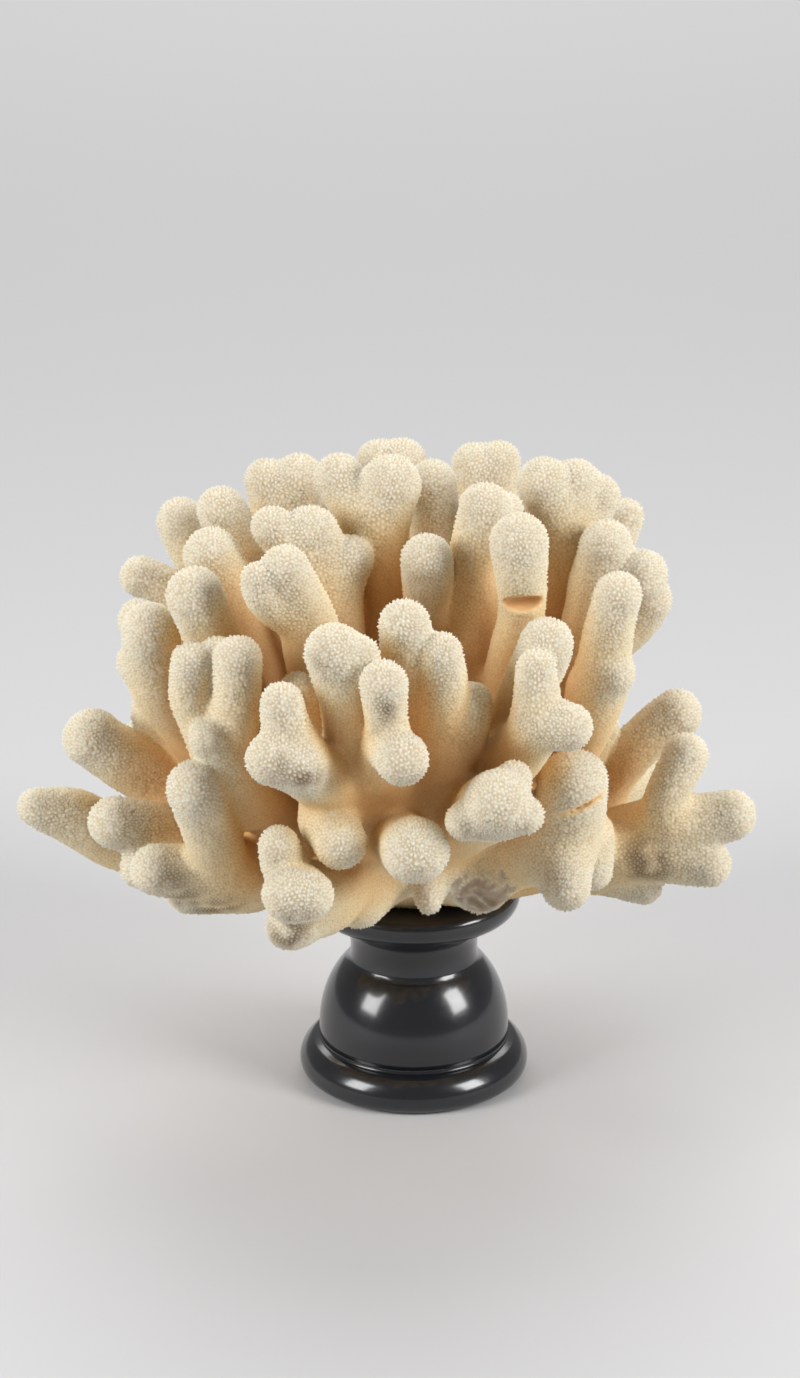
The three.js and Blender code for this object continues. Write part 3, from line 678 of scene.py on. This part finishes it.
def shared_among_spines(points, quads):
    """Shares the skin's points out among evenly spaced spines, as Lloyd's method does.
    Returns the spines' feet and the triangles that join neighbouring feet."""
    height, length = SHARING_WAVE
    turned = points @ np.array(Euler(SHARING_TURN).to_matrix())
    turned += height * np.sin(turned[:, [1, 2, 0]] / length)
    grid = np.floor((turned - turned.min(0)) / SPINE_CELL).astype(np.int64)
    extent = grid.max(0) + 1
    _, owner = np.unique((grid[:, 0] * extent[1] + grid[:, 1]) * extent[2] + grid[:, 2], return_inverse=True)
    owner = owner.reshape(-1)
    table = neighbour_table(quads, len(points))
    near = points.astype(np.float32)
    for _ in range(SHARING_PASSES):
        centres = centres_of(near, owner)
        best = ((near - centres[owner]) ** 2).sum(1)
        moved = owner.copy()
        for k in range(NEIGHBOURS):
            other = owner[table[:, k]]
            distance = ((near - centres[other]) ** 2).sum(1)
            closer = distance < best
            best[closer] = distance[closer]
            moved[closer] = other[closer]
        owner = moved
    owner = without_loose_patches(owner, table)
    _, owner = np.unique(owner, return_inverse=True)
    owner = owner.reshape(-1)
    triangles = owner[np.vstack([quads[:, [0, 1, 2]], quads[:, [0, 2, 3]]])]
    differ = (triangles[:, 0] != triangles[:, 1]) & (triangles[:, 1] != triangles[:, 2])
    triangles = triangles[differ & (triangles[:, 2] != triangles[:, 0])]
    return centres_of(points, owner).astype(float), without_folds(triangles)


def without_folds(triangles):
    """Drops triangles that lie twice on the same three feet: they fold onto each other."""
    _, same, count = np.unique(np.sort(triangles, axis=1), axis=0, return_inverse=True, return_counts=True)
    return triangles[count[same.reshape(-1)] == 1]


def matched_edges(triangles, count):
    """For each edge between two triangles: its ends a and b, and the triangles left and right of a to b."""
    start = triangles.reshape(-1)
    end = np.roll(triangles, -1, axis=1).reshape(-1)
    face = np.repeat(np.arange(len(triangles)), 3)
    key = start * count + end
    order = np.argsort(key)
    back = end * count + start
    place = np.minimum(np.searchsorted(key[order], back), len(key) - 1)
    twin = order[place]
    good = (key[twin] == back) & (start < end)
    return start[good], end[good], face[good], face[twin[good]]


def prickly(feet, triangles, spines, pits):
    """Raises each foot to a spine and sinks the middle of each triangle to a pit. Each edge between
    two feet gives way to one between two pits, so every spine stands in a ring of pits."""
    a, b, left, right = matched_edges(triangles, len(feet))
    left = left + len(feet)
    right = right + len(feet)
    faces = np.vstack([np.stack([a, right, left], 1), np.stack([b, left, right], 1)])
    return np.vstack([feet + spines, feet[triangles].mean(1) + pits]), faces


# ---- What the coral's colours follow ----

CROWD_CELL = 2.5             # how finely the nearness of other fingers is measured
CROWD_REACH = 4              # cells each way that are blurred together
CROWD_AHEAD = 7              # measured this far out in front of the skin
CROWD_MARGIN = 16            # empty cells on each side
OPEN_SHARE, DEEP_SHARE = 40, 93      # the percentiles of crowding that count as 0 and 1
WHITE_REACH, HONEY_REACH = 2, 48     # distances from the tip
ALONG_POWER = 0.8
# The along share is the skin's own tone; the crowding share is painted shade and warm bounced light between
# fingers.
ALONG_SHARE, CROWD_SHARE = 0.72, 0.45   # what each adds to the depth of colour
PATCH_LENGTH = 4             # of the unevenness within the dark patches
PATCH_MIDDLE, PATCH_SWING = 0.7, 1.5
SPOT_EDGE = 1.8              # the higher this is, the sharper the edge of a dark spot
SPINE_MARK_SHARE = 0.5           # the share of the darkening that the spines' ends hold; the pits hold it all

# Grey-brown darkening in patches: on which solid and which of its fingers, how far from that finger's tip,
# reach and strength.
DARK_PATCHES = (
    ("front_left_low", 3, (0, -4, 1), 8, 0.95),
    ("front_left_low", 0, (2, -5, -4), 4, 0.6),
    ("left_front_low", 3, (8, -2, 0), 10, 0.95),
    ("left_front_low", 3, (0, -8, 2), 9, 0.8),
    ("left_front_low", 0, (4, -4, -2), 6, 0.5),
    ("front_centre", 4, (2, -6, -1), 6.5, 0.85),
    ("front_centre", 3, (2, -6, 0), 5, 0.45),
    ("front_centre", 5, (1, -6, -6), 4.5, 0.8),
    ("front_centre", 6, (4, -5, -3), 3.5, 0.5),
    ("front_centre", 0, (-4, -6, 1), 5, 0.5),
    ("front_right_knob", 1, (3, -4, -1), 6, 0.35),
    ("front_right_knob", 2, (1, 0, -4), 4.5, 0.6),
    ("right_low", 2, (-18, -3, 1), 10, 0.9),
)

# Single dark specks, placed in the same way.
SPECKS = (
    ("left_front_low", 1, (1, -7, -1), 0.8, 1.0),
    ("front_centre", 4, (2.5, -6, 0), 0.9, 1.0),
    ("front_centre", 4, (3.5, -5, 1), 0.7, 0.9),
    ("front_right_knob", 0, (0, -7.5, -1), 0.9, 1.0),
    ("front_right_knob", 0, (5, -6, 1), 0.7, 0.9),
)


def blurred(field):
    """The field, smoothed by three box blurs along each axis."""
    width = 2 * CROWD_REACH + 1
    for axis in range(3):
        for _ in range(3):
            total = np.cumsum(np.insert(field, 0, 0, axis=axis), axis=axis)
            size = field.shape[axis]
            low = np.clip(np.arange(size) - CROWD_REACH, 0, size)
            high = np.clip(np.arange(size) + CROWD_REACH + 1, 0, size)
            field = (np.take(total, high, axis) - np.take(total, low, axis)) / width
    return field


def crowding_of(points, normals):
    """0 on a tip that stands free, 1 deep between crowded fingers."""
    origin = points.min(0) - CROWD_MARGIN * CROWD_CELL
    size = np.ceil((points.max(0) - origin) / CROWD_CELL).astype(int) + CROWD_MARGIN
    cell = ((points - origin) / CROWD_CELL).astype(int)
    field = np.zeros(size)
    np.add.at(field, tuple(cell.T), 1.0)
    field = blurred(field)
    ahead = tuple(((points + normals * CROWD_AHEAD - origin) / CROWD_CELL).astype(int).T)
    crowd = field[ahead]
    low, high = np.percentile(crowd, (OPEN_SHARE, DEEP_SHARE))
    return np.clip((crowd - low) / (high - low), 0, 1)


def tone_and_crevice_shade_of(points, normals, from_tip):
    """0 on the white tips, 1 far from a tip or shut in by other fingers. Far from a tip it is the skin's own
    honey colour; between crowded fingers it is painted shade and warm bounced light.
    """
    along = np.clip((from_tip - WHITE_REACH) / (HONEY_REACH - WHITE_REACH), 0, 1) ** ALONG_POWER
    crowding = crowding_of(points, normals)
    return np.clip(ALONG_SHARE * along + CROWD_SHARE * crowding, 0, 1)


def noise_at(points, length):
    return np.array([noise.noise(Vector(p) / length) for p in points])


def spot_at(points, node, finger, offset, reach, strength):
    tip = np.array(FINGERS[node][finger][-1][:3])
    away = np.linalg.norm(points - (tip + offset), axis=1) / reach
    return np.clip(SPOT_EDGE * (1 - away), 0, 1) * strength


def dark_marks_of(points):
    """Grey-brown darkening in the listed patches, and a few dark specks."""
    patchy = np.clip(PATCH_MIDDLE + PATCH_SWING * noise_at(points, PATCH_LENGTH), 0, 1)
    dark_marks = np.zeros(len(points))
    for patch in DARK_PATCHES:
        dark_marks = np.maximum(dark_marks, spot_at(points, *patch) * patchy)
    for speck in SPECKS:
        dark_marks = np.maximum(dark_marks, spot_at(points, *speck))
    return dark_marks


def bareness_of(points):
    """1 on broken faces and inside cracks, where there are no spines."""
    along = [points[:, k] for k in range(3)]
    bare = np.zeros(len(points))
    for crack in CRACKS:
        bare = np.maximum(bare, np.clip(1 - np.abs(crack_distance(along, crack)) / CRACK_EDGE, 0, 1))
    return bare


def fracture_of(points):
    """1 on the broken face of the stub."""
    along = [points[:, k] for k in range(3)]
    near = np.linalg.norm(points - np.array(FRACTURE_PLACE), axis=1) < FRACTURE_REACH
    return np.clip(1.3 - np.abs(fracture_distance(along)) / FRACTURE_EDGE, 0, 1) * near


# ---- The skin as Blender pieces ----

def solid_of(node):
    """The corners and triangles of a CAD node, in millimetres."""
    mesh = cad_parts[node].data
    mesh.calc_loop_triangles()
    corners = np.zeros(len(mesh.vertices) * 3)
    mesh.vertices.foreach_get("co", corners)
    triangles = np.zeros(len(mesh.loop_triangles) * 3, np.int64)
    mesh.loop_triangles.foreach_get("vertices", triangles)
    return corners.reshape(-1, 3) / MM, triangles.reshape(-1, 3)


def owners_of(points):
    """Which CAD node each point of the skin lies on, as its number in CORAL_NODES."""
    all_corners, all_triangles, owners = [], [], []
    count = 0
    for number, node in enumerate(CORAL_NODES):
        corners, triangles = solid_of(node)
        all_corners += corners.tolist()
        all_triangles += (triangles + count).tolist()
        owners += [number] * len(triangles)
        count += len(corners)
    tree = bvhtree.BVHTree.FromPolygons(all_corners, all_triangles)
    nearest = np.array([tree.find_nearest(Vector(p))[2] for p in points])
    return np.array(owners)[nearest]


def add_skin_piece(node, corners, faces, normals, values, material):
    used, faces = np.unique(faces, return_inverse=True)
    mesh = bpy.data.meshes.new(node + "_skin")
    mesh.from_pydata((corners[used] * MM).tolist(), [], faces.reshape(-1, 3).tolist())
    for name, value in values.items():
        mesh.attributes.new(name, "FLOAT", "POINT").data.foreach_set("value", value[used].astype(np.float32))
    mesh.polygons.foreach_set("use_smooth", np.ones(len(mesh.polygons), bool))
    mesh.normals_split_custom_set_from_vertices(normals[used].tolist())
    mesh.materials.append(material)
    piece = add_object(node + "_skin", mesh)
    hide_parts(node)
    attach(piece, BODY)


def with_pits(values, triangles):
    """A value of the spines, carried on to the pits between them."""
    return np.concatenate([values, values[triangles].mean(1)])


def roughened(feet, triangles, normals, depth, smoothness):
    """The skin with a spine on each foot and a pit in each triangle, and how deep each pit is,
    as a share of PIT_DEPTH. Spines and pits are lower deep between the fingers."""
    random = np.random.default_rng(SEED)
    liveliness = (1 - DEEP_SHORTENING * depth) * (1 - smoothness)
    heights = random.uniform(*SPINE_HEIGHT, len(feet)) * liveliness
    spines = (normals + random.normal(0, SPINE_SLANT, normals.shape)) * heights[:, None]
    pit_depths = PIT_DEPTH * liveliness[triangles].mean(1) * random.uniform(*PIT_RANGE, len(triangles))
    pits = -normals[triangles].mean(1) * pit_depths[:, None]
    corners, faces = prickly(feet, triangles, spines, pits)
    return corners, faces, pit_depths / PIT_DEPTH


def add_coral():
    grid, field, depths = coral_field()
    points, quads = skin_of(grid, field)
    feet, triangles = shared_among_spines(points, quads)
    from_tip = depths[grid.cell_of(feet)]
    normals = corner_normals(feet, triangles)
    fracture = fracture_of(feet)
    bare = bareness_of(feet)
    smoothness = np.maximum(bare, fracture)
    feet = feet + normals * (LUMP_HEIGHT * noise_at(feet, LUMP_LENGTH) * (1 - smoothness))[:, None]
    normals = corner_normals(feet, triangles)
    # depth holds the skin's own tone along each finger and painted shade between crowded fingers; cracks take
    # its darkest end.
    depth = np.maximum(tone_and_crevice_shade_of(feet, normals, from_tip), bare)
    dark_marks = dark_marks_of(feet)
    owner = owners_of(feet)
    corners, faces, pit_shares = roughened(feet, triangles, normals, depth, smoothness)
    values = {
        "depth": with_pits(depth, triangles),
        "dark_marks": np.concatenate([dark_marks * SPINE_MARK_SHARE, dark_marks[triangles].mean(1)]),
        "fracture": with_pits(fracture, triangles),
        # pit: how deep each pit is, which darkens its colour as painted shade
        "pit": np.concatenate([np.zeros(len(feet)), pit_shares]),
    }
    skin_normals = corner_normals(corners, faces)
    material = coral_material()
    face_owner = owner[faces[:, 0]]
    for number, node in enumerate(CORAL_NODES):
        add_skin_piece(node, corners, faces[face_owner == number], skin_normals, values, material)


# ---- The stand ----

STAND_TURNS = 160
CURVE_STEPS = 14
STAND_HEIGHT = 58
FOOT_RADIUS = 31
FOOT_BEAD_TOP = (29, 10.4)
QUIRK = [(27.3, 10.6), (26.8, 10.9), (26.9, 11.3), (26.6, 11.5), (26.9, 11.7)]   # the narrow groove
BELLY_BOTTOM = (27.3, 12.1)
NECK_BOTTOM = (18.6, 36)
NECK_TOP = (19.6, 45.5)
RIM_BOTTOM = (27.5, 50.5)
TOP_RADIUS = 28.6


def bezier(p0, p1, p2, p3):
    t = np.linspace(0, 1, CURVE_STEPS + 1)[1:, None]
    p0, p1, p2, p3 = (np.array(p, float) for p in (p0, p1, p2, p3))
    return ((1 - t) ** 3 * p0 + 3 * (1 - t) ** 2 * t * p1 + 3 * (1 - t) * t ** 2 * p2 + t ** 3 * p3).tolist()


def stand_outline():
    """Radius and height of the turned stand, from the middle of its foot to the middle of its top."""
    foot_edge = (FOOT_RADIUS, 0.5)
    top_edge = (TOP_RADIUS, STAND_HEIGHT)
    outline = [(0, 0), (FOOT_RADIUS - 0.8, 0), foot_edge]
    outline += bezier(foot_edge, (34, 1.6), (34, 7.5), FOOT_BEAD_TOP)
    outline += QUIRK + [BELLY_BOTTOM]
    outline += bezier(BELLY_BOTTOM, (27.9, 22), (24.5, 31), NECK_BOTTOM)
    outline += bezier(NECK_BOTTOM, (17.9, 39), (18.2, 43), NECK_TOP)
    outline += bezier(NECK_TOP, (21.5, 48.6), (25, 49.4), RIM_BOTTOM)
    outline += bezier(RIM_BOTTOM, (31.1, 52.2), (31.1, 57.6), top_edge)
    outline += [(0, STAND_HEIGHT)]
    return outline


def add_stand():
    outline = stand_outline()
    rings = outline[1:-1]
    angles = np.linspace(0, 2 * math.pi, STAND_TURNS, endpoint=False)
    corners = [(r * math.cos(t), r * math.sin(t), z) for r, z in rings for t in angles]
    corners += [(0, 0, outline[0][1]), (0, 0, outline[-1][1])]
    foot, top = len(corners) - 2, len(corners) - 1
    faces = []
    for turn in range(STAND_TURNS):
        after = (turn + 1) % STAND_TURNS
        faces.append((foot, after, turn))
        last = (len(rings) - 1) * STAND_TURNS
        faces.append((top, last + turn, last + after))
        for ring in range(len(rings) - 1):
            low, high = ring * STAND_TURNS, (ring + 1) * STAND_TURNS
            faces.append((low + turn, low + after, high + after, high + turn))
    mesh = bpy.data.meshes.new("turned_stand")
    mesh.from_pydata((np.array(corners) * MM).tolist(), [], faces)
    mesh.polygons.foreach_set("use_smooth", np.ones(len(mesh.polygons), bool))
    mesh.materials.append(lacquer_material())
    stand = add_object("turned_stand", mesh)
    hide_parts(STAND)
    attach(stand, BODY)


FLOOR_SIZE = 12              # metres


def add_floor():
    mesh = bpy.data.meshes.new("floor")
    half = FLOOR_SIZE / 2
    corners = [(-half, -half, 0), (half, -half, 0), (half, half, 0), (-half, half, 0)]
    mesh.from_pydata(corners, [], [(0, 1, 2, 3)])
    mesh.materials.append(floor_material())
    add_object("floor", mesh)


add_camera()
add_lights()
add_floor()
add_stand()
add_coral()
